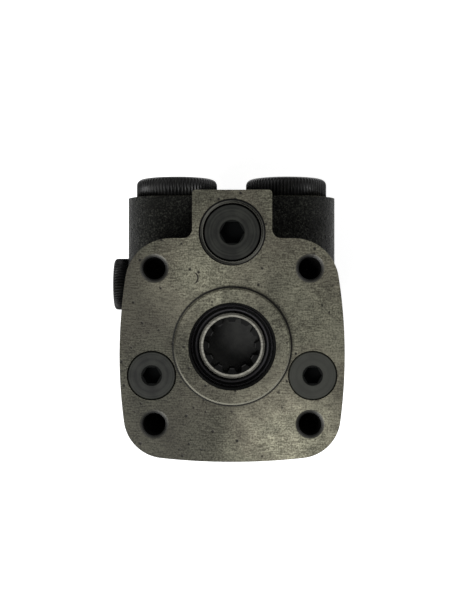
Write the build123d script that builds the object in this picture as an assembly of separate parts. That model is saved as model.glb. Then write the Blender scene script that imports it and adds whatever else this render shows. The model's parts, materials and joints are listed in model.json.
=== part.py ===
"""Orbital steering unit: a hydraulic steering valve with a gear set on its rear end.

The input axis is Z, the mounting face is the plane Z = 0 and the body runs towards -Z.
The four line ports open towards +Y.  All sizes are in millimetres.
"""

import os
from math import atan2, cos, degrees, hypot, pi, sin

from build123d import *

# ---- mounting face -----------------------------------------------------------------
bolt_square = 58.4  # side of the square of column bolts, an 82.6 mm pitch circle
column_thread_hole = 4.25  # radius, minor diameter of M10
column_hole_depth = 16.0
column_hole_mouth = 5.5
face_half_width = 42.25
widest_height = -4.0  # where the bowed sides are widest
top_corner = (face_half_width - 5.15, 40.5)  # where side and shoulder would meet if sharp
bottom_corner = (face_half_width - 3.65, -40.3)
top_round = 17.0
bottom_round = 15.7
bottom_height = -43.4
flange_thickness = 20.0
tab_width = 30.0
tab_round = 1.3
tab_root_round = 3.5
spigot_radius = 21.8
spigot_height = 3.2
spigot_chamfer = 0.6

# ---- body --------------------------------------------------------------------------
body_half_width = face_half_width - 0.1
port_face = 58.7  # height of the machined port face, and of the tab
block_front = -25.5
block_front_round = 16.0
block_rear_round = 2.5
housing_rear = -96.0
block_rear = housing_rear + 1.0
main_bore = 19.0
oil_groove_radius = main_bore + 2.5
oil_hole_rows = (-57.0, -67.0)
seal_shelf = -flange_thickness  # where the shaft bore opens into the main bore
running_gap = 0.02  # radial clearance of the lapped valve pieces
face_gap = 0.05  # clearance between pieces that stand face to face

# ---- ports -------------------------------------------------------------------------
port_side = 22.4  # half the distance between the port columns
port_rows = (-42.5, -76.5)
port_hole = 9.3  # minor radius of G1/2
port_depth = 15.0
port_drill = 6.0
sense_port = (23.9, -47.5)  # height and depth of the G1/4 port in the left side
sense_hole = 5.8
sense_depth = 11.0
sense_boss = 9.5
sense_seat = body_half_width + 0.4  # how far the port's face lies from the axis

# ---- valves in the mounting face ---------------------------------------------------
relief_height = 42.8
relief_recess = 12.7
relief_recess_depth = 3.6
relief_bore = 6.6
relief_seat_top = -51.0
relief_bottom = -57.5
shock_side = face_half_width - 12.05
shock_height = -11.0
shock_head = 8.95
shock_head_depth = 8.0
shock_bore = 6.55
shock_seat_top = -49.0
shock_bottom = -56.0
shock_boss = 12.1
plug_thread_end = -17.5
spring_top = -12.1
relief_thread = relief_bore + 2.7
shock_thread = shock_bore + 0.5

# ---- gear set ----------------------------------------------------------------------
gear_set_radius = body_half_width - 0.15
lobe_count = 7
lobe_pitch = gear_set_radius - 9.0
lobe_radius = 7.0
eccentricity = 3.36
mesh_gap = 0.05
star_reach = lobe_pitch + 2 * eccentricity - lobe_radius - mesh_gap
valley_radius = star_reach + 0.13
o_ring_outside = gear_set_radius - 1.3
o_ring_inside = gear_set_radius - 2.8
o_ring_depth = 0.9
plate_thickness = 7.0
ring_thickness = 20.8
cover_thickness = 13.5
screw_pitch = gear_set_radius - 7.5
screw_hole = 4.2
screw_radius = 3.4  # thread core, so that it stands clear in its tapped hole
screw_grip = 12.0

# ---- spool, sleeve and cardan shaft ------------------------------------------------
spool_front = -4.5
spool_rear = housing_rear + 8.0
spool_neck = 12.4
shaft_bore = spool_neck + 0.1
spool_body = 14.48
spool_bore = 9.9
sleeve_front = seal_shelf - 5.7
sleeve_rear = housing_rear + 0.1
sleeve_step = main_bore - 1.1
spring_ring_length = 9.0
spring_slot = (sleeve_front - 0.9, sleeve_front - 7.5)
spring_slot_width = 6.0
pin_depth = -44.0
pin_radius = 4.0
valve_swing = 8.5  # degrees that the spool can turn in the sleeve, each way
fork_radius = 9.2
shaft_radius = 6.5
spline_teeth = 12
input_tip = 8.73  # 12 teeth, 16/32 pitch, 30 degree flanks
input_root = 10.6
socket_depth = 18.0

# ---- worked out --------------------------------------------------------------------
plate_rear = housing_rear - plate_thickness
ring_rear = plate_rear - ring_thickness
cover_rear = ring_rear - cover_thickness
ring_middle = (plate_rear + ring_rear) / 2
cardan_tilt = degrees(atan2(eccentricity, pin_depth - ring_middle))
screw_angles = [360 * k / lobe_count for k in range(lobe_count)]
bolt_spots = [(x * bolt_square / 2, y * bolt_square / 2) for x in (-1, 1) for y in (-1, 1)]


# ---- building blocks ---------------------------------------------------------------
def disc(radius, top, bottom, x=0, y=0):
    """Cylinder along Z between two depths."""
    across = (Align.CENTER, Align.CENTER, Align.MIN)
    return Pos(x, y, bottom) * Cylinder(radius, top - bottom, align=across)


def tube(outer, inner, top, bottom, x=0, y=0):
    """Hollow cylinder along Z."""
    return disc(outer, top, bottom, x, y) - disc(inner, top + 1, bottom - 1, x, y)


def taper(top_radius, bottom_radius, top, bottom, x=0, y=0):
    """Cone along Z between two depths."""
    across = (Align.CENTER, Align.CENTER, Align.MIN)
    return Pos(x, y, bottom) * Cone(bottom_radius, top_radius, top - bottom, align=across)


def turned(profile, x=0, y=0):
    """Solid of revolution about a line along Z, from (radius, depth) corners."""
    face = make_face(Polyline(*[(r, 0, z) for r, z in profile], close=True))
    return Pos(x, y, 0) * revolve(face, Axis.Z)


def prism(sketch, top, bottom, x=0, y=0):
    """Sketch pushed along Z between two depths."""
    return Pos(x, y, bottom) * extrude(sketch, top - bottom)


def hexagon(across_flats):
    return RegularPolygon(across_flats / 2, 6, major_radius=False)


def around(radius, angle):
    """Point on a circle about the input axis."""
    return radius * cos(angle * pi / 180), radius * sin(angle * pi / 180)


def along_y(solid):
    """Turn a piece built along Z so that it points towards +Y."""
    return Rot(X=-90) * solid


def along_left(solid):
    """Turn a piece built along Z so that it points towards -X."""
    return Rot(Y=-90) * solid


def spline_outline(tip, root, tip_share, root_share, turn=0.0):
    """Outline with straight-sided teeth, their widths given as shares of the pitch."""
    step = 360 / spline_teeth
    points = []
    for k in range(spline_teeth):
        corners = ((root, -root_share), (tip, -tip_share), (tip, tip_share), (root, root_share))
        for radius, share in corners:
            points.append(around(radius, (k + turn + share / 2) * step))
    return make_face(Polyline(*points, close=True))


# ---- housing -----------------------------------------------------------------------
def flange_outline():
    """Bowed sides and bottom, round corners and the tab that carries the relief valve."""
    high_x, high_y = top_corner
    low_x, low_y = bottom_corner
    edges = [
        ThreePointArc((-low_x, low_y), (0, bottom_height), (low_x, low_y)),
        ThreePointArc((low_x, low_y), (face_half_width, widest_height), (high_x, high_y)),
        Line((high_x, high_y), (-high_x, high_y)),
        ThreePointArc((-high_x, high_y), (-face_half_width, widest_height), (-low_x, low_y)),
    ]
    plate = make_face(edges)
    plate = fillet(plate.vertices().group_by(Axis.Y)[0], bottom_round)
    plate = fillet(plate.vertices().group_by(Axis.Y)[-1], top_round)
    tab = Pos(0, port_face / 2) * Rectangle(tab_width, port_face)
    tab = fillet(tab.vertices().group_by(Axis.Y)[-1], tab_round)
    outline = plate + tab
    inner = [
        v
        for v in outline.vertices()
        if abs(abs(v.X) - tab_width / 2) < 0.01 and abs(v.Y - high_y) < 0.01
    ]
    return fillet(inner, tab_root_round)


def port_block():
    """Block that carries the ports, round where its front wall meets its sides."""
    depth = block_front - block_rear
    block = Pos(0, port_face / 2, (block_front + block_rear) / 2) * Box(
        2 * body_half_width, port_face, depth
    )
    front = block.faces().sort_by(Axis.Z)[-1].edges().filter_by(Axis.Y)
    block = fillet(front, block_front_round)
    rear = block.faces().sort_by(Axis.Z)[0].edges().filter_by(Axis.Y)
    return fillet(rear, block_rear_round)


def spigot():
    """Raised ring that centres the unit in the steering column."""
    edge = spigot_height - spigot_chamfer
    ring = disc(spigot_radius, edge, -1)
    return ring + taper(spigot_radius - spigot_chamfer, spigot_radius, spigot_height, edge)


def valve_casting():
    """Outside of the cast valve body behind the flange."""
    body = disc(body_half_width, -flange_thickness, housing_rear) + port_block()
    rib_end = block_front - 10
    body += Pos(0, port_face / 2, (rib_end - flange_thickness) / 2) * Box(
        tab_width, port_face, -flange_thickness - rib_end
    )
    for side in (-1, 1):
        x = side * shock_side
        body += disc(shock_boss, -flange_thickness, shock_bottom, x, shock_height)
        body += taper(shock_boss, shock_boss - 5, shock_bottom, shock_bottom - 5, x, shock_height)
    sense_y, sense_z = sense_port
    boss = along_left(disc(sense_boss, sense_seat, sense_seat - body_half_width))
    return body + Pos(0, sense_y, sense_z) * boss


def tapped_port(x, y, z, hole, depth, drill, drill_end):
    """Threaded port towards +Y with its chamfer, drill point and passage."""
    cut = disc(hole, 1, -depth)
    cut += taper(hole + 2.4, hole, 0.01, -1.6)
    cut += disc(hole + 2.4, 1, 0)
    cut += taper(hole, drill, -depth, -depth - 2.5)
    cut += disc(drill, -depth, -drill_end)
    return Pos(x, y, z) * along_y(cut)


def port_cuts():
    cuts = []
    for z in port_rows:
        for side in (-1, 1):
            cuts.append(
                tapped_port(
                    side * port_side, port_face, z, port_hole, port_depth, port_drill, port_face - 6
                )
            )
    sense = disc(sense_hole, 1, -sense_depth) + taper(sense_hole + 1.5, sense_hole, 0.01, -1)
    sense += disc(sense_hole + 1.5, 1, 0)
    sense += disc(2.0, 0, port_side - body_half_width)
    sense_y, sense_z = sense_port
    cuts.append(Pos(-sense_seat, sense_y, sense_z) * along_left(sense))
    return cuts


seal_mouth = 16.4
dust_seat = 15.7
dust_shelf = -10.5
seal_groove = 15.5
seal_groove_ends = (dust_shelf - 2, dust_shelf - 7)
shaft_passage = [
    (0, spigot_height + 1),
    (seal_mouth, spigot_height + 1),
    (seal_mouth, 0.6),
    (dust_seat, 0),
    (dust_seat, dust_shelf),
    (shaft_bore, dust_shelf),
    (shaft_bore, seal_groove_ends[0]),
    (seal_groove, seal_groove_ends[0]),
    (seal_groove, seal_groove_ends[1]),
    (shaft_bore, seal_groove_ends[1]),
    (shaft_bore, -flange_thickness - 1),
    (0, -flange_thickness - 1),
]


def bore_cuts():
    """Main bore of the valve, with its oil grooves."""
    cuts = [disc(main_bore, seal_shelf + 1, housing_rear - 1)]
    for z in port_rows + oil_hole_rows:
        cuts.append(disc(oil_groove_radius, z + 3, z - 3))
    return cuts


def relief_cut():
    """Stepped bore of the relief valve."""
    profile = [
        (0, 1),
        (relief_recess + 1.7, 1),
        (relief_recess, -0.7),
        (relief_recess, -relief_recess_depth),
        (relief_thread, -relief_recess_depth),
        (relief_thread, plug_thread_end - 1.5),
        (relief_bore, plug_thread_end - 2.5),
        (relief_bore, relief_bottom),
        (3, relief_bottom - 2.5),
        (3, relief_bottom - 12.5),
        (0, relief_bottom - 12.5),
    ]
    return turned(profile, 0, relief_height)


def shock_cut(side):
    """Stepped bore of one shock valve."""
    recess = shock_head + 0.35
    profile = [
        (0, 1),
        (recess, 1),
        (recess, -shock_head_depth),
        (shock_thread, -shock_head_depth),
        (shock_thread, plug_thread_end - 1.5),
        (shock_bore, plug_thread_end - 2.5),
        (shock_bore, shock_bottom),
        (2.5, shock_bottom - 2),
        (2.5, shock_bottom - 4),
        (0, shock_bottom - 4),
    ]
    return turned(profile, side * shock_side, shock_height)


check_spot = around(screw_pitch - 4.5, screw_angles[1] * 1.5)
suction_spots = [around(screw_pitch - 4.0, screw_angles[1] * share) for share in (0.5, 3.5)]
check_bore = 5.05
suction_bore = 4.6
check_ball_radius = 4.0
suction_ball_radius = 4.25


def rear_cuts():
    """Tapped screw holes, check valve and suction valve bores in the rear face."""
    cuts = []
    for angle in screw_angles:
        x, y = around(screw_pitch, angle)
        cuts.append(disc(screw_radius + 0.1, housing_rear + screw_grip, housing_rear - 1, x, y))
    rear = housing_rear
    profile = [
        (0, rear + 20),
        (2.6, rear + 20),
        (2.6, rear + 16),
        (check_ball_radius + 0.1, rear + 14.5),
        (check_bore, rear + 14.5),
        (check_bore, rear - 1),
        (0, rear - 1),
    ]
    cuts.append(turned(profile, *check_spot))
    for spot in suction_spots:
        profile = [
            (0, rear + 15.5),
            (2.8, rear + 15.5),
            (2.8, rear + 13.5),
            (suction_bore, rear + 12),
            (suction_bore, rear - 1),
            (0, rear - 1),
        ]
        cuts.append(turned(profile, *spot))
    cuts.append(o_ring_groove(rear))
    return cuts


def column_hole(x, y):
    """Tapped hole for one bolt of the steering column, with a shallow chamfer."""
    end = -column_hole_depth
    hole = disc(column_thread_hole, 1, end, x, y)
    hole += taper(column_thread_hole, 0.3, end, end - 2.4, x, y)
    return hole + taper(column_hole_mouth, column_thread_hole, 0.01, -0.4, x, y)


def mounting_flange():
    """Front of the casting: machined face, spigot and the valve recesses."""
    body = prism(flange_outline(), 0, -flange_thickness) + spigot()
    body -= turned(shaft_passage)
    for cut in [relief_cut(), shock_cut(-1), shock_cut(1)]:
        body -= cut
    for x, y in bolt_spots:
        body -= column_hole(x, y)
    return body


def housing():
    """Valve body of the casting, from the back of the flange to the gear set."""
    body = valve_casting()
    for cut in bore_cuts() + [relief_cut(), shock_cut(-1), shock_cut(1)]:
        body -= cut
    for cut in port_cuts() + rear_cuts():
        body -= cut
    return body


# ---- seals and thrust bearing ------------------------------------------------------
def dust_seal():
    """Black wiper with two ridges round the spool neck."""
    inside = spool_neck + 0.05
    outside = dust_seat - 0.05
    profile = [
        (inside, dust_shelf),
        (outside, dust_shelf),
        (outside, dust_shelf + 4.3),
        (outside - 0.55, dust_shelf + 5.1),
        (outside - 1.05, dust_shelf + 4.1),
        (outside - 1.65, dust_shelf + 4.9),
        (outside - 2.25, dust_shelf + 3.7),
        (inside + 0.45, dust_shelf + 3.3),
        (inside, dust_shelf + 4.1),
    ]
    return turned(profile)


seal_ring_outside = seal_groove - 2.0


def shaft_seal_ring():
    top, bottom = seal_groove_ends
    return tube(seal_ring_outside, spool_neck + 0.05, top - 0.1, bottom + 0.1)


def shaft_o_ring():
    top, bottom = seal_groove_ends
    return tube(seal_groove - 0.05, seal_ring_outside + 0.02, top - 0.9, bottom + 0.9)


def bearing_outer_race():
    return tube(main_bore - 0.1, shaft_bore + 1.0, seal_shelf, seal_shelf - 2.0)


def bearing_inner_race():
    return tube(main_bore - 0.2, spool_neck + 0.9, sleeve_front + 1.15, sleeve_front + face_gap)


needle_radius = 1.18
needle_depth = sleeve_front + 2.43


def needle_places():
    return [Rot(Z=360 * k / 16) * Pos(16.1, 0, needle_depth) for k in range(16)]


def needle_cage():
    """Flat cage with a window for each needle."""
    cage = tube(main_bore - 0.4, spool_neck + 1.3, needle_depth + 0.7, needle_depth - 0.7)
    for place in needle_places():
        cage -= place * Box(3.9, 2 * needle_radius + 0.16, 2)
    return cage


def bearing_needles():
    return Compound([place * Rot(Y=90) * Cylinder(needle_radius, 3.7) for place in needle_places()])


# ---- valve -------------------------------------------------------------------------
def spool():
    """Input shaft end and inner valve in one piece."""
    body = disc(spool_neck, spool_front, sleeve_front)
    body += disc(spool_body, sleeve_front, spool_rear)
    body = chamfer(body.edges().sort_by(Axis.Z)[-1], 0.7)
    socket = spline_outline(input_tip, input_root, 0.34, 0.68)
    body -= prism(socket, spool_front + 1, spool_front - socket_depth)
    body -= taper(input_root + 0.4, input_root - 1.6, spool_front + 0.01, spool_front - 2)
    body -= disc(spool_bore, spring_slot[0] - 1, spool_rear - 1)
    slot_top, slot_bottom = spring_slot
    slot_width = spring_slot_width + 2.6
    body -= Pos(0, 0, (slot_top + slot_bottom) / 2) * Box(40, slot_width, slot_top - slot_bottom)
    pin_swing = sin(valve_swing * pi / 180) * spool_body
    window = SlotOverall(2 * (pin_radius + pin_swing) + 0.3, 2 * pin_radius + 0.3)
    body -= Pos(0, 0, pin_depth) * Rot(Y=90) * Rot(Z=90) * extrude(window, 20, both=True)
    for k in range(12):
        z = pin_depth - 15 if k % 2 else pin_depth - 27
        groove = Pos(spool_body, 0, z) * Box(1.6, 3.2, 18)
        body -= Rot(Z=30 * k + 15) * groove
    return body - tube(spool_body + 1, spool_body - 0.8, spool_rear + 6, spool_rear + 4.8)


def sleeve():
    """Outer valve: oil holes, pin holes and the open slots for the springs."""
    outer = main_bore - running_gap
    step = sleeve_front - spring_ring_length
    body = tube(outer, spool_body + running_gap, step, sleeve_rear)
    body += tube(sleeve_step, spool_body + running_gap, sleeve_front, step)
    slot_top, slot_bottom = sleeve_front, spring_slot[1]
    slot_middle = (slot_top + slot_bottom) / 2
    body -= Pos(0, 0, slot_middle) * Box(40, spring_slot_width, slot_top - slot_bottom)
    body -= Pos(0, 0, pin_depth) * Rot(Y=90) * Cylinder(pin_radius + 0.02, 50)
    for row, z in enumerate(oil_hole_rows):
        for k in range(6):
            hole = Pos(17, 0, z) * Rot(Y=90) * Cylinder(1.8, 8)
            body -= Rot(Z=60 * k + 30 * row + 15) * hole
    return body - tube(outer + 1, outer - 0.8, sleeve_rear + 9.9, sleeve_rear + 8.5)


def spring_ring():
    """Ring that keeps the centering springs in the sleeve."""
    end = sleeve_front - spring_ring_length + 0.4
    return tube(main_bore - 0.1, sleeve_step + 0.05, sleeve_front - 0.4, end)


def centering_springs():
    """Pack of six leaf springs, the outer pairs bowed."""
    slot_top, slot_bottom = spring_slot
    half = sleeve_step - 0.4
    leaves = []
    for side in (-1, 1):
        for k in range(3):
            near = side * (0.35 + 0.75 * k)
            far = near + side * 0.6
            bow = side * (0.05 + 0.4 * k)
            band = make_face(
                [
                    ThreePointArc((-half, near), (0, near + bow), (half, near)),
                    Line((half, near), (half, far)),
                    ThreePointArc((half, far), (0, far + bow), (-half, far)),
                    Line((-half, far), (-half, near)),
                ]
            )
            leaves.append(prism(band, slot_top - 0.2, slot_bottom + 0.2))
    return Compound(leaves)


def cross_pin():
    pin = Cylinder(pin_radius, 2 * main_bore - 1.2)
    pin = chamfer(pin.edges(), 0.5)
    return Pos(0, 0, pin_depth) * Rot(Y=90) * pin


# ---- cardan shaft and gear set -----------------------------------------------------
head_tip = 9.6
head_root = 8.1
star_tip = 8.75
star_root = 10.1
head_half = 5.0


def cardan_shaft():
    """Fork round the cross pin, slim shaft and crowned spline head, leaning to the star."""
    reach = hypot(eccentricity, pin_depth - ring_middle)
    fork = disc(fork_radius, 8, -8.5)
    fork += taper(fork_radius, shaft_radius, -8.5, -12.5)
    fork += disc(shaft_radius, -12.5, head_half + 3 - reach)
    fork += taper(shaft_radius, head_root, head_half + 3 - reach, head_half - reach)
    fork -= Pos(0, 0, 2) * Box(40, 2 * pin_radius + 0.1, 13)
    teeth = spline_outline(head_tip, head_root, 0.24, 0.69)
    head = prism(teeth, head_half, -head_half)
    head &= Sphere(hypot(head_tip, 2.2))
    fork += Pos(0, 0, -reach) * head
    return Pos(0, 0, pin_depth) * Rot(Y=-cardan_tilt) * fork


def star_outline():
    """Curve that keeps touching the ring's lobes while the star orbits, drawn in short arcs."""
    teeth = lobe_count - 1
    offset = lobe_radius + mesh_gap
    steps = teeth * 24
    points = []
    for k in range(steps):
        t = 2 * pi * k / steps
        t -= 0.6 * sin(teeth * t) / teeth  # closer together in the valleys
        x = lobe_pitch * cos(t) - eccentricity * cos(lobe_count * t)
        y = lobe_pitch * sin(t) - eccentricity * sin(lobe_count * t)
        dx = -lobe_pitch * sin(t) + lobe_count * eccentricity * sin(lobe_count * t)
        dy = lobe_pitch * cos(t) - lobe_count * eccentricity * cos(lobe_count * t)
        length = hypot(dx, dy)
        points.append((x - offset * dy / length, y + offset * dx / length))
    arcs = []
    for k in range(0, steps, 2):
        arcs.append(ThreePointArc(points[k], points[k + 1], points[(k + 2) % steps]))
    return make_face(arcs)


def star():
    body = prism(star_outline(), plate_rear - 0.025, ring_rear + 0.025)
    bore = spline_outline(star_tip, star_root, 0.36, 0.62, turn=0.5)
    body -= prism(bore, plate_rear + 1, ring_rear - 1)
    return Pos(eccentricity, 0, 0) * body


def spacer():
    """Disc that keeps the cardan shaft off the end cover."""
    top = ring_middle - head_half - 0.5
    return disc(star_tip - 0.1, top, ring_rear + face_gap, eccentricity, 0)


def screw_holes(top, bottom):
    return [disc(screw_hole, top + 1, bottom - 1, *around(screw_pitch, a)) for a in screw_angles]


def o_ring_groove(face):
    return tube(o_ring_outside, o_ring_inside, face + o_ring_depth, face - 1)


def face_o_ring(face):
    """O-ring squeezed square in the groove of one joint face."""
    return tube(o_ring_outside - 0.05, o_ring_inside + 0.05, face + o_ring_depth - 0.02, face)


def distributor_plate():
    body = tube(gear_set_radius, head_tip + 1.9, housing_rear, plate_rear)
    for angle in screw_angles:
        x, y = around(screw_pitch - 5.0, angle + 180 / lobe_count)
        body -= disc(2.8, housing_rear + 1, plate_rear - 1, x, y)
    for hole in screw_holes(housing_rear, plate_rear):
        body -= hole
    return body - o_ring_groove(plate_rear)


def gear_ring():
    """Ring with seven round lobes that the star rolls inside."""
    body = disc(gear_set_radius, plate_rear, ring_rear)
    cavity = Circle(valley_radius)
    for angle in screw_angles:
        cavity -= Pos(*around(lobe_pitch, angle)) * Circle(lobe_radius)
    body -= prism(cavity, plate_rear + 1, ring_rear - 1)
    for hole in screw_holes(plate_rear, ring_rear):
        body -= hole
    return body - o_ring_groove(ring_rear)


def end_cover():
    body = disc(gear_set_radius, ring_rear, cover_rear)
    body = chamfer(body.faces().sort_by(Axis.Z)[0].edges(), 1.2)
    for hole in screw_holes(ring_rear, cover_rear):
        body -= hole
    return body


washer_thickness = 1.5
head_height = 5.6


def cover_washers():
    under = cover_rear - washer_thickness
    return Compound(
        [tube(7.6, screw_hole, cover_rear, under, *around(screw_pitch, a)) for a in screw_angles]
    )


def cover_screw(angle):
    """Hexagon head screw from the cover into the housing."""
    x, y = around(screw_pitch, angle)
    under_head = cover_rear - washer_thickness
    shank = disc(screw_radius, housing_rear + screw_grip - 1, under_head, x, y)
    shank += disc(screw_hole - 0.2, housing_rear - 2, under_head, x, y)
    head = prism(hexagon(13), under_head, under_head - head_height, x, y)
    head &= taper(9.2, 6.3, under_head + 1, under_head - head_height, x, y)
    return shank + head


# ---- valves in the rear face -------------------------------------------------------
def check_ball():
    return Pos(*check_spot, housing_rear + 10.5) * Sphere(check_ball_radius)


def check_bushing():
    """Threaded bushing that holds the check ball in its bore."""
    top = housing_rear + 8
    body = disc(check_bore - 0.05, top, housing_rear + 0.3, *check_spot)
    body -= prism(hexagon(4), top + 1, housing_rear - 1, *check_spot)
    return body - taper(3.3, 1.8, top + 0.1, top - 1.6, *check_spot)


def suction_ball(spot):
    return Pos(*spot, housing_rear + 7.1) * Sphere(suction_ball_radius)


def suction_pin(spot):
    head = disc(suction_bore - 0.1, housing_rear + 1.4, housing_rear + face_gap, *spot)
    return head + disc(1.6, housing_rear + 2.8, housing_rear + 1.3, *spot)


# ---- relief valve ------------------------------------------------------------------
def hex_socket(across_flats, rim, top, depth, x, y):
    """Hexagon socket with a round countersunk mouth."""
    cut = prism(hexagon(across_flats), top + 1, top - depth, x, y)
    return cut + taper(rim, across_flats / 2, top + 0.01, top - 0.8, x, y)


washer_top = -relief_recess_depth + 0.5
poppet_shoulder = -44.0


def relief_plug():
    top = washer_top + 1.5
    body = disc(relief_recess - 1.3, top, washer_top, 0, relief_height)
    body = chamfer(body.edges().sort_by(Axis.Z)[-1], 0.4)
    body += disc(relief_thread - 0.1, washer_top + 0.1, plug_thread_end, 0, relief_height)
    body -= disc(5.2, spring_top + 0.1, plug_thread_end - 0.5, 0, relief_height)
    return body - hex_socket(8, 4.9, top, 6.5, 0, relief_height)


def relief_washer():
    """Seal washer under the plug, seen as a rim round its head."""
    inside = relief_thread + 0.05
    return tube(relief_recess - 0.15, inside, washer_top, -relief_recess_depth, 0, relief_height)


def relief_poppet():
    """Cone on a stem that guides the spring."""
    profile = [
        (0, poppet_shoulder + 7),
        (2.4, poppet_shoulder + 7),
        (2.4, poppet_shoulder),
        (relief_bore - 0.7, poppet_shoulder),
        (relief_bore - 0.7, poppet_shoulder - 4.5),
        (3.9, relief_seat_top + 0.05),
        (2.2, relief_seat_top - 2.5),
        (0, relief_seat_top - 3.5),
    ]
    return turned(profile, 0, relief_height)


def relief_seat():
    """Seat ring at the bottom of the valve bore."""
    top = relief_seat_top
    body = tube(relief_bore - 0.1, 2.6, top, relief_bottom + 0.1, 0, relief_height)
    return body - taper(4.3, 2.4, top + 0.1, top - 2.7, 0, relief_height)


def coil(radius, wire, top, bottom, turns, x, y):
    """Compression spring along Z, drawn with a square wire."""
    height = top - bottom - wire
    path = Pos(0, 0, bottom + wire / 2) * Helix(height / turns, height, radius)
    section = Plane(path @ 0, x_dir=(0, 0, 1), z_dir=path % 0) * Rectangle(wire, wire)
    return Pos(x, y, 0) * sweep(section, path, is_frenet=True)


def relief_spring():
    return coil(4.0, 1.4, spring_top, poppet_shoulder + 0.1, 6, 0, relief_height)


# ---- shock valves ------------------------------------------------------------------
def shock_plug(side):
    x = side * shock_side
    under_head = -shock_head_depth + 0.4
    body = disc(shock_head, 0, under_head, x, shock_height)
    body = chamfer(body.edges().sort_by(Axis.Z)[-1], 0.35)
    body += disc(shock_thread - 0.05, under_head + 0.1, plug_thread_end, x, shock_height)
    body -= disc(4.6, spring_top + 0.1, plug_thread_end - 0.5, x, shock_height)
    return body - hex_socket(6, 3.94, 0, 6.0, x, shock_height)


def shock_o_ring(side):
    x = side * shock_side
    top = -shock_head_depth + 0.38
    return tube(shock_head + 0.3, shock_thread, top, -shock_head_depth, x, shock_height)


def shock_seat(side):
    x = side * shock_side
    top = shock_seat_top
    body = tube(shock_bore - 0.05, 2.0, top, shock_bottom + 0.1, x, shock_height)
    return body - taper(3.7, 1.9, top + 0.1, top - 2.2, x, shock_height)


shock_ball_radius = 4.0
shock_ball_depth = shock_seat_top + 1.9


def shock_ball(side):
    return Pos(side * shock_side, shock_height, shock_ball_depth) * Sphere(shock_ball_radius)


def shock_spring(side):
    bottom = shock_ball_depth + shock_ball_radius + 0.2
    return coil(3.6, 1.2, spring_top, bottom, 6, side * shock_side, shock_height)


# ---- port caps ---------------------------------------------------------------------
cap_gap = 0.1  # radial clearance of a cap's thread in its port
cap_wall = 1.8
line_cap_radius = port_hole + 7.15
line_cap_height = 7.9
sense_cap_radius = sense_hole + 4.8
sense_cap_height = 5.8


def knurled_prism(radius, ribs, depth, height):
    """Straight knurl, as a zigzag outline."""
    step = 360 / ribs
    points = []
    for k in range(ribs):
        points.append(around(radius, k * step))
        points.append(around(radius - depth, (k + 0.5) * step))
    return extrude(make_face(Polyline(*points, close=True)), height)


def port_cap(radius, height, ribs, stem, stem_length, edge):
    """Plastic cap built along +Z: knurled rim, crowned top, hollow threaded stem."""
    crown = [(0, 0), (radius - 0.6, 0), (radius - 0.6, height - edge)]
    for angle in (30, 60, 90):
        out, up = edge * cos(angle * pi / 180), edge * sin(angle * pi / 180)
        crown.append((radius - 0.6 - edge + out, height - edge + up))
    crown.append((0, height))
    cap = turned(crown) + knurled_prism(radius, ribs, 0.5, height - edge)
    cap -= disc(stem - cap_wall, height - 2.0, -1)
    return cap + tube(stem, stem - cap_wall, 0.5, -stem_length)


def line_cap(column, row):
    stem = port_hole - cap_gap
    cap = port_cap(line_cap_radius, line_cap_height, 60, stem, port_depth - 4.0, 2.5)
    return Pos(column * port_side, port_face, port_rows[row]) * along_y(cap)


def sense_cap():
    stem = sense_hole - cap_gap
    cap = port_cap(sense_cap_radius, sense_cap_height, 40, stem, sense_depth - 3.0, 1.6)
    sense_y, sense_z = sense_port
    return Pos(-sense_seat, sense_y, sense_z) * along_left(cap)


# ---- export ------------------------------------------------------------------------
def pieces():
    yield "mounting_flange", mounting_flange()
    yield "housing", housing()
    yield "dust_seal", dust_seal()
    yield "shaft_seal_ring", shaft_seal_ring()
    yield "shaft_o_ring", shaft_o_ring()
    yield "bearing_outer_race", bearing_outer_race()
    yield "needle_cage", needle_cage()
    yield "bearing_needles", bearing_needles()
    yield "bearing_inner_race", bearing_inner_race()
    yield "spool", spool()
    yield "sleeve", sleeve()
    yield "spring_ring", spring_ring()
    yield "centering_springs", centering_springs()
    yield "cross_pin", cross_pin()
    yield "cardan_shaft", cardan_shaft()
    yield "spacer", spacer()
    yield "star", star()
    yield "gear_ring", gear_ring()
    yield "distributor_plate", distributor_plate()
    yield "end_cover", end_cover()
    faces = (("housing_o_ring", housing_rear), ("plate_o_ring", plate_rear), ("ring_o_ring", ring_rear))
    for name, face in faces:
        yield name, face_o_ring(face)
    for k, angle in enumerate(screw_angles):
        yield f"cover_screw_{k + 1}", cover_screw(angle)
    yield "cover_washers", cover_washers()
    yield "check_ball", check_ball()
    yield "check_bushing", check_bushing()
    for name, spot in zip(("a", "b"), suction_spots):
        yield f"suction_ball_{name}", suction_ball(spot)
        yield f"suction_pin_{name}", suction_pin(spot)
    yield "relief_plug", relief_plug()
    yield "relief_washer", relief_washer()
    yield "relief_spring", relief_spring()
    yield "relief_poppet", relief_poppet()
    yield "relief_seat", relief_seat()
    for name, side in (("left", -1), ("right", 1)):
        yield f"shock_plug_{name}", shock_plug(side)
        yield f"shock_o_ring_{name}", shock_o_ring(side)
        yield f"shock_spring_{name}", shock_spring(side)
        yield f"shock_ball_{name}", shock_ball(side)
        yield f"shock_seat_{name}", shock_seat(side)
    for name, column, row in (("p", -1, 0), ("t", 1, 0), ("l", -1, 1), ("r", 1, 1)):
        yield f"port_cap_{name}", line_cap(column, row)
    yield "port_cap_sense", sense_cap()


os.makedirs("parts", exist_ok=True)
for node, solid in pieces():
    export_step(solid, f"parts/{node}.step")
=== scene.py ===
"""Looks of the orbital steering unit: finishes, knurls, threads, springs, floor and light."""

import json
from math import cos, pi, sin

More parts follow.
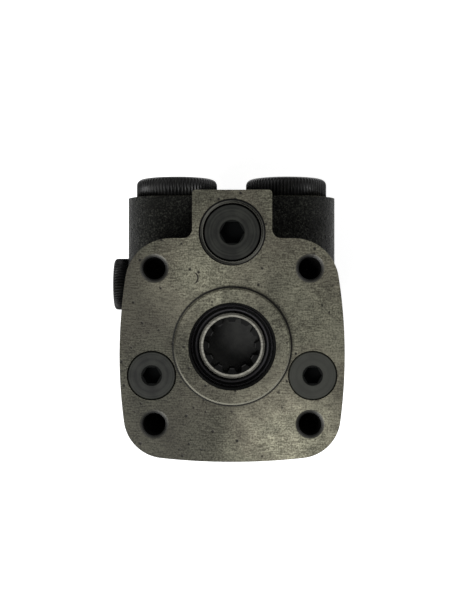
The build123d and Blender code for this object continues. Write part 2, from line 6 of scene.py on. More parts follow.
import bpy
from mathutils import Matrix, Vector

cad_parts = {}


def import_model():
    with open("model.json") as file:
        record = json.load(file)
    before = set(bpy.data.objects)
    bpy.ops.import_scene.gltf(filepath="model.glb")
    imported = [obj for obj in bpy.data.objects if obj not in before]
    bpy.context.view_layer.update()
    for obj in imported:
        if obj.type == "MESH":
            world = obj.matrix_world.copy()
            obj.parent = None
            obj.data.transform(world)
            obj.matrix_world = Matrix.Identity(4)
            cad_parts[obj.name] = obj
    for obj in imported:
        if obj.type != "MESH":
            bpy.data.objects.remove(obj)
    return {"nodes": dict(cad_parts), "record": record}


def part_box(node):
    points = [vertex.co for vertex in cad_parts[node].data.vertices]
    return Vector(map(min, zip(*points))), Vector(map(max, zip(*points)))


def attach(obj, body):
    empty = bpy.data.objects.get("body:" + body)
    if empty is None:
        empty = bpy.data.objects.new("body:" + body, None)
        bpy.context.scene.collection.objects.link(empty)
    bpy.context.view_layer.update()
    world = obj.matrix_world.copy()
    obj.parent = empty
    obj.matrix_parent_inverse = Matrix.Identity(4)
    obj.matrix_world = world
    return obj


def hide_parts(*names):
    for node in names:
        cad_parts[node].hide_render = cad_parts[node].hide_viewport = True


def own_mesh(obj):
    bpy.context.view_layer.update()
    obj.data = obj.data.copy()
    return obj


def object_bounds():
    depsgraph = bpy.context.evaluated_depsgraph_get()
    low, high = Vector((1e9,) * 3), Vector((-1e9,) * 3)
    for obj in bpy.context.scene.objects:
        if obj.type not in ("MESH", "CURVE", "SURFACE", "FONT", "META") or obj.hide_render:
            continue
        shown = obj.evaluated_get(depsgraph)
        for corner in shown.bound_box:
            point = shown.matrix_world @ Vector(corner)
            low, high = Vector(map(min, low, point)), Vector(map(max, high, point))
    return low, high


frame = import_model()
cad_low, cad_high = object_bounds()
nodes = frame["nodes"]
MM = 0.001
ROOT = "housing_group"

# ---- the picture: a camera straight above the mounting face -------------------------
PICTURE_HEIGHT = 600
PICTURE_CENTRE = (225.0, 300.0)  # pixels
AXIS_PIXEL = (232.15, 346.25)  # where the input axis meets the mounting face
FACE_SCALE = 2.668  # pixels for a millimetre at the mounting face
CAMERA_HEIGHT = 0.440
SENSOR = 24.0

# ---- places on the face, in metres, read off the frame ------------------------------
BOLT = 0.0292
RELIEF_LOW, RELIEF_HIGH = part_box("relief_plug")
RELIEF = (RELIEF_LOW + RELIEF_HIGH) / 2
SHOCK_LOW, SHOCK_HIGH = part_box("shock_plug_right")
SHOCK = (SHOCK_LOW + SHOCK_HIGH) / 2
PORT_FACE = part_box("housing")[1].y
BOLTS = [(x * BOLT, y * BOLT, 0) for x in (-1, 1) for y in (-1, 1)]
BOLT_CORE = 0.0043
RELIEF_RECESS = 0.01255
SHOCK_RECESS = 0.0093
SEAL_MOUTH = 0.0165
HOLES = [(x, y, BOLT_CORE) for x, y, z in BOLTS]
HOLES += [(0.0, RELIEF.y, RELIEF_RECESS), (0.0, 0.0, SEAL_MOUTH)]
HOLES += [(side * SHOCK.x, SHOCK.y, SHOCK_RECESS) for side in (-1, 1)]


# ---- shader building blocks ----------------------------------------------------------
class Shader:
    """A material's node tree, with one short call for each kind of node."""

    def __init__(self, name):
        self.material = bpy.data.materials.new(name)
        self.material.use_nodes = True
        self.tree = self.material.node_tree
        self.bsdf = self.tree.nodes["Principled BSDF"]
        self.place = self.add("ShaderNodeTexCoord").outputs["Object"]

    def add(self, kind, **settings):
        node = self.tree.nodes.new(kind)
        for key, value in settings.items():
            setattr(node, key, value)
        return node

    def feed(self, socket, value):
        """Link an output, or set a plain value."""
        if isinstance(value, bpy.types.NodeSocket):
            self.tree.links.new(value, socket)
        else:
            socket.default_value = value

    def math(self, operation, a, b=0.0):
        node = self.add("ShaderNodeMath", operation=operation)
        self.feed(node.inputs[0], a)
        self.feed(node.inputs[1], b)
        return node.outputs[0]

    def stretch(self, scale, turn=0.0):
        node = self.add("ShaderNodeMapping")
        self.feed(node.inputs["Vector"], self.place)
        node.inputs["Scale"].default_value = scale
        node.inputs["Rotation"].default_value = (0, 0, turn)
        return node.outputs[0]

    def noise(self, scale, detail=3.0, roughness=0.55, vector=None):
        node = self.add("ShaderNodeTexNoise")
        self.feed(node.inputs["Vector"], vector or self.place)
        node.inputs["Scale"].default_value = scale
        node.inputs["Detail"].default_value = detail
        node.inputs["Roughness"].default_value = roughness
        return node.outputs["Fac"]

    def cells(self, scale):
        node = self.add("ShaderNodeTexVoronoi")
        self.feed(node.inputs["Vector"], self.place)
        node.inputs["Scale"].default_value = scale
        return node.outputs["Distance"]

    def between(self, value, low, high, to_low=0.0, to_high=1.0):
        """Map a value's range to another, held at its ends."""
        node = self.add("ShaderNodeMapRange", clamp=True)
        ends = (value, low, high, to_low, to_high)
        for socket, end in zip(node.inputs, ends):
            self.feed(socket, end)
        return node.outputs[0]

    def mix(self, share, a, b):
        """Mix two colours."""
        node = self.add("ShaderNodeMix", data_type="RGBA")
        self.feed(node.inputs["Factor"], share)
        self.feed(node.inputs["A"], a)
        self.feed(node.inputs["B"], b)
        return node.outputs["Result"]

    def blend(self, share, a, b):
        """Mix two numbers."""
        node = self.add("ShaderNodeMix", data_type="FLOAT")
        self.feed(node.inputs[0], share)
        self.feed(node.inputs[2], a)
        self.feed(node.inputs[3], b)
        return node.outputs[0]

    def axes(self, vector):
        node = self.add("ShaderNodeSeparateXYZ")
        self.feed(node.inputs[0], vector)
        return node.outputs

    def distance_to(self, point):
        """Distance from a point, seen along the input axis."""
        flatten = self.add("ShaderNodeVectorMath", operation="MULTIPLY")
        self.feed(flatten.inputs[0], self.place)
        flatten.inputs[1].default_value = (1, 1, 0)
        node = self.add("ShaderNodeVectorMath", operation="DISTANCE")
        self.feed(node.inputs[0], flatten.outputs[0])
        node.inputs[1].default_value = point
        return node.outputs["Value"]

    def both(self, *masks):
        """Where all the masks hold."""
        share = masks[0]
        for mask in masks[1:]:
            share = self.math("MULTIPLY", share, mask)
        return share

    def either(self, *masks):
        """Where any of the masks holds."""
        share = masks[0]
        for mask in masks[1:]:
            share = self.math("MAXIMUM", share, mask)
        return share

    def below(self, value, limit):
        return self.math("LESS_THAN", value, limit)

    def above(self, value, limit):
        return self.math("GREATER_THAN", value, limit)

    def off(self, value, middle):
        """How far a value is from a middle one, either way."""
        return self.math("ABSOLUTE", self.math("SUBTRACT", value, middle))

    def opposite(self, mask):
        return self.math("SUBTRACT", 1.0, mask)

    def total(self, *terms):
        """Sum of (value, weight) pairs."""
        parts = [self.math("MULTIPLY", value, weight) for value, weight in terms]
        result = parts[0]
        for part in parts[1:]:
            result = self.math("ADD", result, part)
        return result

    def bump(self, height, strength, distance, under=None):
        node = self.add("ShaderNodeBump")
        node.inputs["Strength"].default_value = strength
        node.inputs["Distance"].default_value = distance
        self.feed(node.inputs["Height"], height)
        if under is not None:
            self.feed(node.inputs["Normal"], under)
        return node.outputs[0]

    def finish(self, colour, metal, rough, normal=None, specular=0.5):
        self.feed(self.bsdf.inputs["Base Color"], colour)
        self.feed(self.bsdf.inputs["Metallic"], metal)
        self.feed(self.bsdf.inputs["Roughness"], rough)
        self.feed(self.bsdf.inputs["Specular IOR Level"], specular)
        if normal is not None:
            self.feed(self.bsdf.inputs["Normal"], normal)
        return self.material


# ---- finishes ------------------------------------------------------------------------
FACE_DARK = (0.044, 0.042, 0.029, 1)
FACE_LIGHT = (0.162, 0.158, 0.116, 1)
FACE_WARM = (0.105, 0.086, 0.068, 1)
FACE_STAIN = (0.055, 0.050, 0.036, 1)
PIT = (0.0060, 0.0052, 0.0040, 1)
# painted highlight for the spigot's lower edge
SPIGOT_EDGE_HIGHLIGHT = (0.38, 0.37, 0.30, 1)
# painted shade for the bolt-hole chamfers, deep in and near the face
CONE_SHADE_INNER = (0.0040, 0.0040, 0.0036, 1)
CONE_SHADE_OUTER = (0.050, 0.049, 0.041, 1)
PAINT = (0.0026, 0.0027, 0.0021, 1)
PAINT_WORN = (0.046, 0.048, 0.039, 1)
# painted shade for the insides of the holes and the spigot's foot
POCKET_SHADE = (0.0060, 0.0060, 0.0054, 1)

AXIS = (0, 0, 0)
SPIGOT_EDGE_RADIUS = 0.0212
FOOT_RADIUS = 0.02225  # painted shade line where the spigot meets the face
CONE_RADIUS = 0.0057  # chamfer of the column bolt holes
CONE_DEPTH = 0.003
PIT_CELL = 270.0
SCRATCH = (-0.0150, 0.0256, 0)
SCRATCH_RADIUS = 0.0022

# Light and shade painted into the face and not the metal's own colour: a rise from left to right,
# and patches as (centre, radius, lift), where a negative lift paints shade. It stays on the face
# whatever lamps shine on it.
SHEEN_RISE = 0.52
SHEEN_LEFT, SHEEN_RIGHT = -0.028, 0.026
SHEEN_BASE = 0.44
LIGHT_AND_SHADE_PATCHES = (
    ((-0.012, 0.030, 0), 0.027, 0.92),
    ((0.020, -0.036, 0), 0.025, 1.38),
    ((-0.022, -0.032, 0), 0.028, -0.16),
)


def face_marks(s, x):
    """Scattered casting pits and one crescent scratch."""
    pits = s.between(s.cells(PIT_CELL), 0.10, 0.19, 1.0, 0.0)
    pits = s.both(pits, s.between(s.noise(120, 1), 0.46, 0.50))
    ring = s.off(s.distance_to(SCRATCH), SCRATCH_RADIUS)
    crescent = s.between(x, -0.0142, -0.0136)
    return s.either(pits, s.both(s.between(ring, 0.00016, 0.00042, 1.0, 0.0), crescent))


def painted_sheen(s, x, mottle):
    """Factor on the face's colour that stands for painted light and shade falling on it."""
    sheen = s.math("MULTIPLY", s.between(x, SHEEN_LEFT, SHEEN_RIGHT), SHEEN_RISE)
    for point, radius, lift in LIGHT_AND_SHADE_PATCHES:
        patch = s.between(s.distance_to(point), radius * 0.1, radius, lift, 0.0)
        sheen = s.math("ADD", sheen, patch)
    sheen = s.math("MULTIPLY", sheen, s.between(mottle, 0.3, 0.7, 0.45, 1.55))
    return s.math("ADD", sheen, SHEEN_BASE)


def milled_colour(s, brushed, grain, sheen, marks):
    """Milled iron with streaks, clouds, warm areas, stains and pits, scaled by the painted sheen."""
    crossed = s.noise(420, 3, 0.6, s.stretch((6.0, 1.0, 1.0), 0.35))
    cloud = s.noise(42, 3, 0.6)
    tone = s.total((brushed, 0.35), (cloud, 0.25), (grain, 0.48), (crossed, 0.12))
    metal = s.mix(s.between(tone, 0.52, 0.68), FACE_DARK, FACE_LIGHT)
    warm = s.between(s.noise(28, 2, 0.5), 0.46, 0.58)
    metal = s.mix(s.math("MULTIPLY", warm, 0.22), metal, FACE_WARM)
    stain = s.between(s.noise(95, 4, 0.7), 0.56, 0.72)
    metal = s.mix(s.math("MULTIPLY", stain, 0.35), metal, FACE_STAIN)
    lit = s.add("ShaderNodeVectorMath", operation="SCALE")
    s.feed(lit.inputs[0], metal)
    s.feed(lit.inputs["Scale"], sheen)
    return s.mix(s.math("MULTIPLY", marks, 0.95), lit.outputs[0], PIT)


def spigot_shade_and_highlight(s, metal, y, z, spigot):
    """Painted shade as a dark line at the foot of the spigot, and a painted highlight as a light
    line on its lower edge.
    """
    reach = s.distance_to(AXIS)
    foot = s.between(s.off(reach, FOOT_RADIUS), 0.00022, 0.00052, 0.93, 0.0)
    metal = s.mix(s.both(foot, s.below(z, 0.0001)), metal, POCKET_SHADE)
    edge = s.both(s.above(reach, SPIGOT_EDGE_RADIUS), spigot, s.between(y, -0.014, 0.002, 0.9, 0.0))
    return s.mix(edge, metal, SPIGOT_EDGE_HIGHLIGHT)


def bolt_cone_shade(s, metal, nearest, mottle):
    """Painted shade in the chamfers of the column bolt holes, black deep in and grey near the face."""
    tone = s.both(s.between(nearest, 0.0045, 0.0052), s.between(mottle, 0.3, 0.6, 0.5, 1.0))
    cone = s.mix(tone, CONE_SHADE_INNER, CONE_SHADE_OUTER)
    return s.mix(s.between(nearest, 0.00530, 0.00555), cone, metal)


def worn_paint(s):
    """Black paint on the rough casting, rubbed through on its high points."""
    speckle = s.between(s.noise(1500, 3, 0.8), 0.50, 0.63)
    speckle = s.both(speckle, s.between(s.noise(180, 2), 0.35, 0.60, 0.35, 1.0))
    return s.mix(speckle, PAINT, PAINT_WORN)


def housing_finish():
    """Rough black cast sides with a milled face, spigot and port face; painted sheen on the face and
    painted shade in the holes.
    """
    s = Shader("housing_finish")
    x, y, z = s.axes(s.place)
    normal = s.add("ShaderNodeNewGeometry").outputs["True Normal"]
    faces_up = s.between(s.axes(normal)[2], 0.80, 0.86)
    spigot = s.above(z, 0.00005)
    inside = [s.below(s.distance_to((at_x, at_y, 0)), radius) for at_x, at_y, radius in HOLES]
    sunk = s.either(s.below(z, -0.00003), s.opposite(faces_up))
    shaded_pocket = s.both(s.either(*inside), sunk)
    nearest = s.distance_to(BOLTS[0])
    for bolt in BOLTS[1:]:
        nearest = s.math("MINIMUM", nearest, s.distance_to(bolt))
    cone = s.both(s.below(nearest, CONE_RADIUS), s.above(z, -CONE_DEPTH))
    on_face = s.both(faces_up, s.above(z, -0.0004))
    bare = s.either(on_face, spigot, s.above(y, PORT_FACE - 0.00005), shaded_pocket, cone)

    brushed = s.noise(300, 4, 0.6, s.stretch((1.0, 7.0, 1.0), 0.55))
    grain = s.noise(1500, 2, 0.7)
    mottle = s.noise(150, 4, 0.7)
    marks = face_marks(s, x)
    metal = milled_colour(s, brushed, grain, painted_sheen(s, x, mottle), marks)
    metal = spigot_shade_and_highlight(s, metal, y, z, spigot)
    metal = bolt_cone_shade(s, metal, nearest, mottle)
    # painted shade inside the holes
    metal = s.mix(shaded_pocket, metal, POCKET_SHADE)
    colour = s.mix(bare, worn_paint(s), metal)
    rough = s.blend(bare, 0.50, s.between(brushed, 0.3, 0.7, 0.34, 0.50))

    cast = s.total((s.noise(900, 4, 0.65), 1.0), (s.noise(260, 2), 1.2))
    cast = s.both(cast, s.opposite(bare))
    milled = s.both(s.total((grain, 0.6), (brushed, 1.0), (marks, -0.6)), bare)
    relief = s.bump(milled, 0.36, 0.00018, s.bump(cast, 1.0, 0.0015))
    return s.finish(colour, s.blend(bare, 0.0, 0.55), rough, relief, s.blend(bare, 0.12, 0.35))


def metal_finish(name, dark, light, rough, metal=0.8, grain=380, relief=0.12):
    """Turned or ground metal with fine streaks and faint stains."""
    s = Shader(name)
    streaks = s.noise(grain, 4, 0.6, s.stretch((1.0, 4.0, 1.0), 0.3))
    cloud = s.noise(90, 3, 0.6)
    tone = s.math("ADD", s.math("MULTIPLY", streaks, 0.5), s.math("MULTIPLY", cloud, 0.5))
    colour = s.mix(s.between(tone, 0.35, 0.68), dark, light)
    shine = s.between(streaks, 0.3, 0.7, rough - 0.06, rough + 0.08)
    return s.finish(colour, metal, shine, s.bump(streaks, relief, 0.0001))


PLUG_DARK = (0.0062, 0.0066, 0.0054, 1)
PLUG_LIGHT = (0.0185, 0.0195, 0.0160, 1)
PLUG_LIT = (0.055, 0.056, 0.048, 1)
SOCKET_WALL_SHADE = (0.0085, 0.0088, 0.0085, 1)
SOCKET_FLOOR_SHADE = (0.0038, 0.0041, 0.0041, 1)
PLUG_RIM = (0.115, 0.113, 0.098, 1)
# painted shade for the relief plug's black line
PLUG_GAP_SHADE = (0.0005, 0.0005, 0.0005, 1)


def plug_finish():
    """Blued turned plugs with rings. Painted shade darkens the hexagon sockets and draws the relief
    plug's black line, painted light makes the right plug lighter, and the relief plug's pale rim
    is painted."""
    s = Shader("plug_finish")
    x, y, z = s.axes(s.place)
    reach = s.distance_to((0, RELIEF.y, 0))
    for side in (-1, 1):
        reach = s.math("MINIMUM", reach, s.distance_to((side * SHOCK.x, SHOCK.y, 0)))
    noise = s.add("ShaderNodeTexNoise", noise_dimensions="1D")
    s.feed(noise.inputs["W"], reach)
    noise.inputs["Scale"].default_value = 900
    noise.inputs["Detail"].default_value = 3
    rings = noise.outputs["Fac"]
    tone = s.total((rings, 0.5), (s.noise(160, 3, 0.6), 0.5))
    colour = s.mix(s.between(tone, 0.41, 0.59), PLUG_DARK, PLUG_LIGHT)
    # painted light: the plug on the right is drawn lighter
    colour = s.mix(s.math("MULTIPLY", s.above(x, 0.02), 0.40), colour, PLUG_LIT)
    shock_low = s.both(s.below(reach, 0.0038), s.below(z, -0.00003))
    relief_low = s.both(s.below(reach, 0.0047), s.below(z, -0.00165))
    low = s.either(shock_low, relief_low)
    # painted shade in the hexagon sockets, darker on their floors
    colour = s.mix(low, colour, SOCKET_WALL_SHADE)
    colour = s.mix(s.both(low, s.below(z, -0.0026)), colour, SOCKET_FLOOR_SHADE)
    # painted shade drawn as a black line on the relief plug
    gap_shade = s.both(s.between(reach, 0.0102, 0.0104), s.between(reach, 0.0110, 0.0111, 1.0, 0.0))
    colour = s.mix(s.between(reach, 0.01105, 0.01112), colour, PLUG_RIM)
    colour = s.mix(gap_shade, colour, PLUG_GAP_SHADE)
    dull = s.opposite(s.either(low, gap_shade))
    metal = s.math("MULTIPLY", dull, 0.15)
    gloss = s.math("MULTIPLY", dull, 0.22)
    return s.finish(colour, metal, s.blend(low, 0.42, 0.8), s.bump(rings, 0.1, 0.00008), gloss)


def washer_finish():
    """Dull ring of the seal washer, with painted shade in black where it meets the recess's wall."""
    s = Shader("relief_washer_finish")
    reach = s.distance_to((0, RELIEF.y, 0))
    tone = s.mix(s.noise(400, 3, 0.6), (0.075, 0.074, 0.062, 1), (0.14, 0.138, 0.118, 1))
    # painted shade at the washer's outer edge
    colour = s.mix(s.between(reach, 0.01200, 0.01215), tone, (0.0012, 0.0012, 0.0012, 1))
    return s.finish(colour, 0.3, 0.45, None, 0.3)


def spool_finish():
    """Ground spool, bright on its front ring, with painted shade in the splined socket."""
    s = Shader("spool_finish")
    z = s.axes(s.place)[2]
    reach = s.distance_to((0, 0, 0))
    streaks = s.noise(420, 4, 0.6, s.stretch((1.0, 4.0, 1.0), 0.3))
    colour = s.mix(s.between(streaks, 0.35, 0.65), (0.20, 0.195, 0.165, 1), (0.34, 0.33, 0.285, 1))
    # painted shade in the splined socket, mottled, and darker on the walls than on the floor
    socket = s.math("MULTIPLY", s.math("LESS_THAN", reach, 0.01099), s.math("LESS_THAN", z, -0.00455))
    socket_mottle = s.between(s.noise(300, 3, 0.7), 0.4, 0.65)
    socket_shade = s.mix(socket_mottle, (0.0085, 0.0085, 0.0075, 1), (0.018, 0.018, 0.0155, 1))
    walls = s.math("MULTIPLY", socket, s.math("GREATER_THAN", z, -0.0220))
    socket_shade = s.mix(walls, socket_shade, (0.0030, 0.0030, 0.0028, 1))
    colour = s.mix(socket, colour, socket_shade)
    rough = s.blend(socket, s.between(streaks, 0.3, 0.7, 0.24, 0.38), 0.60)
    return s.finish(colour, s.blend(socket, 0.45, 0.0), rough, s.bump(streaks, 0.12, 0.0001), 0.3)


def seal_finish():
    """Black rubber, with a painted highlight in grey on the crests of its two ridges."""
    s = Shader("dust_seal_finish")
    skin = s.noise(900, 3, 0.6)
    reach = s.distance_to((0, 0, 0))
    # painted highlight along the crests of the two ridges
    crest = 0.0
    for radius in (0.0136, 0.0153):
        off = s.math("ABSOLUTE", s.math("SUBTRACT", reach, radius))
        crest = s.math("MAXIMUM", crest, s.between(off, 0.0001, 0.0004, 1.0, 0.0))
    colour = s.mix(crest, (0.0035, 0.0035, 0.0035, 1), (0.060, 0.058, 0.062, 1))
    return s.finish(colour, 0.0, 0.34, s.bump(skin, 0.2, 0.00012), 0.5)


def grey_metal(name, level, rough, metal=0.8):
    """Neutral metal round one brightness."""
    dark = (level * 0.8, level * 0.79, level * 0.76, 1)
    light = (level * 1.25, level * 1.24, level * 1.2, 1)
    return metal_finish(name, dark, light, rough, metal)


def soft_finish(name, dark, light, rough, grain, relief):
    """Rubber or moulded plastic with a fine skin and dust."""
    s = Shader(name)
    skin = s.noise(grain, 3, 0.6)
    dust = s.between(s.noise(140, 4, 0.65), 0.50, 0.72)
    colour = s.mix(dust, dark, light)
    shine = s.between(skin, 0.3, 0.7, rough - 0.07, rough + 0.07)
    return s.finish(colour, 0.0, shine, s.bump(skin, relief, 0.00012), 0.22)


def grey(level):
    return (level, level, level, 1)


def finishes():
    """One finish for each material slot of the record."""
    return {
        "cast_body": housing_finish(),
        "black_rubber": soft_finish("rubber", grey(0.008), grey(0.018), 0.42, 900, 0.2),
        "seal_plastic": soft_finish("seal", (0.1, 0.05, 0.025, 1), (0.16, 0.08, 0.04, 1), 0.5, 600, 0.1),
        "bearing_steel": grey_metal("bearing", 0.62, 0.16, 1.0),
        "cage_steel": grey_metal("cage", 0.42, 0.34),
        "valve_steel": grey_metal("valve", 0.34, 0.30, 0.9),
        "spring_steel": grey_metal("spring", 0.22, 0.32),
        "dark_steel": grey_metal("dark_steel", 0.12, 0.38),
        "gear_steel": grey_metal("gear", 0.17, 0.34, 0.9),
        "cover_iron": grey_metal("cover", 0.035, 0.48, 0.3),
        "plug_steel": plug_finish(),
        "valve_part_steel": grey_metal("valve_part", 0.36, 0.30, 0.9),
        "washer_steel": grey_metal("washer", 0.10, 0.42, 0.5),
        "screw_steel": grey_metal("screw", 0.06, 0.36, 0.6),
        "cap_plastic": soft_finish("cap", grey(0.0022), (0.009, 0.009, 0.008, 1), 0.34, 500, 0.25),
    }


FINISH = finishes()
OWN_FINISH = {
    "spool": spool_finish(),
    "dust_seal": seal_finish(),
    "relief_washer": washer_finish(),
}
SLOT_OF = {row["node"]: row["material_slot"] for row in frame["record"]["subparts"]}


def dress_nodes():
    """Each CAD node gets the finish of its own slot."""
    for name, thing in nodes.items():
        thing.data.materials.clear()
        thing.data.materials.append(OWN_FINISH.get(name) or FINISH[SLOT_OF[name]])


# ---- pieces ----------------------------------------------------------------------------
def piece(name, points, faces, slot, body, smooth=True):
    """Mesh piece in the row frame that rides on a CAD body."""
    mesh = bpy.data.meshes.new(name)
    mesh.from_pydata(points, [], faces)
    mesh.validate()
    thing = bpy.data.objects.new(name, mesh)
    bpy.context.scene.collection.objects.link(thing)
    mesh.materials.append(FINISH[slot])
    if smooth:
        mesh.shade_smooth()
    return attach(thing, body)


def spun(rings, steps, place, closed=False):
    """Points and faces of stacked rings; a ring is a function of the angle to (radius, height)."""
    points = []
    for ring in rings:
        for k in range(steps):
            angle = 2 * pi * k / steps
            radius, height = ring(angle)
            points.append(place(radius * cos(angle), radius * sin(angle), height))
    faces = []
    for row in range(len(rings) if closed else len(rings) - 1):
        below, above = row * steps, (row + 1) % len(rings) * steps
        for k in range(steps):
            after = (k + 1) % steps
            faces.append((below + k, below + after, above + after, above + k))
    if not closed:
        faces.append(tuple(reversed(range(steps))))
        faces.append(tuple((len(rings) - 1) * steps + k for k in range(steps)))
    return points, faces


def plain_ring(radius, height):
    return lambda angle: (radius, height)


def ribbed_ring(radius, height, ribs, depth):
    """Ring whose radius swings in and out once a rib."""
    return lambda angle: (radius - depth * (0.5 - 0.5 * cos(ribs * angle)) ** 1.6, height)


RIBS = 72
SENSE_RIBS = 56
RIB_DEPTH = 0.00070


def cap_rings(radius, height, edge, ribs, stem, stem_length):
    """Cap from the end of its hollow stem up to the middle of its crown."""
    inner = stem - 1.8 * MM
    rings = [plain_ring(0.0002, height - 2.0 * MM), plain_ring(inner, height - 2.0 * MM)]
    rings += [plain_ring(inner, -stem_length), plain_ring(stem - 0.4 * MM, -stem_length)]
    rings += [plain_ring(stem, -stem_length + 0.4 * MM), plain_ring(stem, 0.0)]
    rings += [plain_ring(radius - RIB_DEPTH - 0.3 * MM, 0.0)]
    rings += [ribbed_ring(radius, 0.15 * MM, ribs, RIB_DEPTH)]
    steps = 7
    for k in range(steps + 1):
        turn = pi / 2 * k / steps
        depth = RIB_DEPTH * max(0.0, 1 - k / 4.5)
        ring_radius = radius - edge + edge * cos(turn)
        rings.append(ribbed_ring(ring_radius, height - edge + edge * sin(turn), ribs, depth))
    rings += [plain_ring(radius * 0.62, height), plain_ring(radius * 0.60, height - 0.25 * MM)]
    rings += [plain_ring(0.0002, height - 0.25 * MM)]
    return rings


def port_caps():
    """Knurled plastic caps in the four line ports and the sensing port."""
    for port in "ptlr":
        low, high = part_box(f"port_cap_{port}")
        middle = (low + high) / 2
        radius = (high.x - low.x) / 2
        height = high.y - PORT_FACE
        stem_length = PORT_FACE - low.y

        def place(a, b, c, middle=middle):
            return (middle.x + a, PORT_FACE + c, middle.z - b)

        rings = cap_rings(radius, height, 2.4 * MM, RIBS, 9.2 * MM, stem_length)
        points, faces = spun(rings, RIBS * 6, place)
        cap = piece(f"cap_{port}_knurled", points, faces, "cap_plastic", f"cap_{port}_body")
        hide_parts(f"port_cap_{port}")
    low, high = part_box("port_cap_sense")
    middle = (low + high) / 2
    radius = (high.y - low.y) / 2
    stem_length = 8.0 * MM
    seat = high.x - stem_length
    rings = cap_rings(radius, seat - low.x, 1.5 * MM, SENSE_RIBS, 5.7 * MM, stem_length)

    def place_left(a, b, c):
        return (seat - c, middle.y + a, middle.z + b)

    points, faces = spun(rings, SENSE_RIBS * 6, place_left)
    cap = piece("cap_sense_knurled", points, faces, "cap_plastic", "cap_sense_body")
    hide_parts("port_cap_sense")


def coil_spring(name, node, wire, turns):
    """Round-wire coil in place of the CAD spring, end turns closed."""
    low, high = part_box(node)
    centre = (low + high) / 2
    radius = (high.x - low.x) / 2 - wire / 2
    curve = bpy.data.curves.new(name, "CURVE")
    curve.dimensions = "3D"
    curve.bevel_depth = wire / 2
    curve.bevel_resolution = 3
    steps = int(turns * 24)
    line = curve.splines.new("POLY")
    line.points.add(steps)
    for k in range(steps + 1):
        share = k / steps
        lift = share - sin(4 * pi * share) / (8 * pi)
        height = low.z + wire / 2 + (high.z - low.z - wire) * lift
        angle = 2 * pi * turns * share
        spot = (centre.x + radius * cos(angle), centre.y + radius * sin(angle), height, 1)
        line.points[k].co = spot
    drawn = bpy.data.objects.new(name + "_line", curve)
    bpy.context.scene.collection.objects.link(drawn)
    ready = drawn.evaluated_get(bpy.context.evaluated_depsgraph_get())
    mesh = bpy.data.meshes.new_from_object(ready)
    bpy.data.objects.remove(drawn)
    thing = bpy.data.objects.new(name, mesh)
    bpy.context.scene.collection.objects.link(thing)
    mesh.materials.clear()
    mesh.materials.append(FINISH["spring_steel"])
    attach(thing, ROOT)
    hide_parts(node)
    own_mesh(thing)


def thread(name, x, y, radius, pitch, depth, top, bottom, slot):
    """Helical thread crest standing in from the wall of a tapped hole."""
    steps = 32
    count = int((top - bottom) / pitch * steps)
    points = []
    faces = []
    for k in range(count + 1):
        angle = 2 * pi * k / steps
        height = top - pitch * k / steps
        rise = min(1.0, k / steps, (count - k) / steps)
        corners = ((0.0, 0.42), (depth * rise, 0.08), (depth * rise, -0.08), (0.0, -0.42))
        for inward, share in corners:
            reach = radius - inward
            points.append((x + reach * cos(angle), y + reach * sin(angle), height + share * pitch))
        if k:
            now, before = 4 * k, 4 * (k - 1)
            for j in range(3):
                faces.append((before + j, before + j + 1, now + j + 1, now + j))
    return piece(name, points, faces, slot, ROOT)


THREAD_RADIUS = 4.26 * MM
THREAD_PITCH = 1.5 * MM
THREAD_HEIGHT = 0.38 * MM
THREAD_TOP = -2.2 * MM
THREAD_BOTTOM = -14.5 * MM


def column_threads():
    """M10 threads of the four column bolt holes."""
    for k, (x, y, z) in enumerate(BOLTS):
        sizes = (THREAD_RADIUS, THREAD_PITCH, THREAD_HEIGHT, THREAD_TOP, THREAD_BOTTOM)
        thread(f"column_thread_{k + 1}", x, y, *sizes, "cast_body")


def relief_lip():
    """Closes the recess's chamfer to the narrow edge that the real one has."""
    corners = ((12.6, -0.72), (14.38, -0.012), (12.6, -0.012))
    rings = [plain_ring(radius * MM, height * MM) for radius, height in corners]

    def place(a, b, c):
        return (a, RELIEF.y + b, c)

    points, faces = spun(rings, 120, place, closed=True)
    piece("relief_recess_lip", points, faces, "cast_body", ROOT, smooth=False)


# ---- stage -----------------------------------------------------------------------------
def floor():
    """White floor that keeps a faint shadow."""
    size = 3.0
    mesh = bpy.data.meshes.new("floor")
    corners = [(-size, -size, 0), (size, -size, 0), (size, size, 0), (-size, size, 0)]
    mesh.from_pydata([(x, y, cad_low.z) for x, y, z in corners], [], [(0, 1, 2, 3)])
    thing = bpy.data.objects.new("floor", mesh)
    bpy.context.scene.collection.objects.link(thing)
    s = Shader("floor_white")
    s.finish((0.9, 0.9, 0.9, 1), 0.0, 1.0, None, 0.0)
    s.bsdf.inputs["Emission Color"].default_value = (1, 1, 1, 1)
    s.bsdf.inputs["Emission Strength"].default_value = 0.62
    mesh.materials.append(s.material)


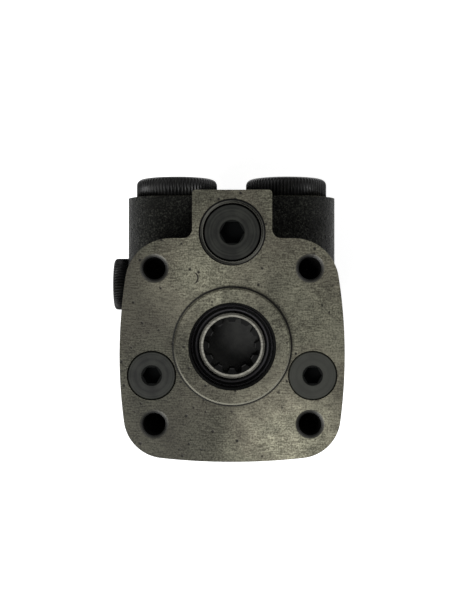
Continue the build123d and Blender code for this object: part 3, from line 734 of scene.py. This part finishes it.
def world():
    """White to the camera, a dimmer room to everything else."""
    scene_world = bpy.data.worlds.new("room")
    bpy.context.scene.world = scene_world
    scene_world.use_nodes = True
    tree = scene_world.node_tree
    background = tree.nodes["Background"]
    path = tree.nodes.new("ShaderNodeLightPath")
    strength = tree.nodes.new("ShaderNodeMapRange")
    strength.inputs["To Min"].default_value = 0.30
    strength.inputs["To Max"].default_value = 1.0
    tree.links.new(path.outputs["Is Camera Ray"], strength.inputs["Value"])
    tree.links.new(strength.outputs[0], background.inputs["Strength"])
    background.inputs["Color"].default_value = (1, 1, 1, 1)


def lamp(name, place, target, size, power):
    """Square area lamp that looks at a point."""
    data = bpy.data.lights.new(name, "AREA")
    data.size = size
    data.energy = power
    thing = bpy.data.objects.new(name, data)
    bpy.context.scene.collection.objects.link(thing)
    thing.location = place
    thing.rotation_mode = "QUATERNION"
    aim = Vector(target) - Vector(place)
    thing.rotation_quaternion = aim.to_track_quat("-Z", "Y")


def camera():
    data = bpy.data.cameras.new("camera")
    thing = bpy.data.objects.new("camera", data)
    bpy.context.scene.collection.objects.link(thing)
    data.sensor_fit = "VERTICAL"
    data.sensor_height = SENSOR
    data.lens = FACE_SCALE / MM * CAMERA_HEIGHT * SENSOR / PICTURE_HEIGHT
    data.clip_start = 0.01
    across = (PICTURE_CENTRE[0] - AXIS_PIXEL[0]) / FACE_SCALE * MM
    up = (AXIS_PIXEL[1] - PICTURE_CENTRE[1]) / FACE_SCALE * MM
    thing.location = (across, up, CAMERA_HEIGHT)
    bpy.context.scene.camera = thing


# ---- everything ------------------------------------------------------------------------
dress_nodes()
port_caps()
coil_spring("relief_coil", "relief_spring", 1.4 * MM, 7)
coil_spring("shock_coil_left", "shock_spring_left", 1.2 * MM, 8)
coil_spring("shock_coil_right", "shock_spring_right", 1.2 * MM, 8)
column_threads()
relief_lip()
floor()
world()
lamp("key", (-0.42, -0.46, 0.95), (0, 0, 0), 0.55, 12)
lamp("fill", (0.6, 0.5, 0.9), (0, 0, 0), 0.8, 4)
camera()
bpy.context.scene.view_settings.view_transform = "Standard"
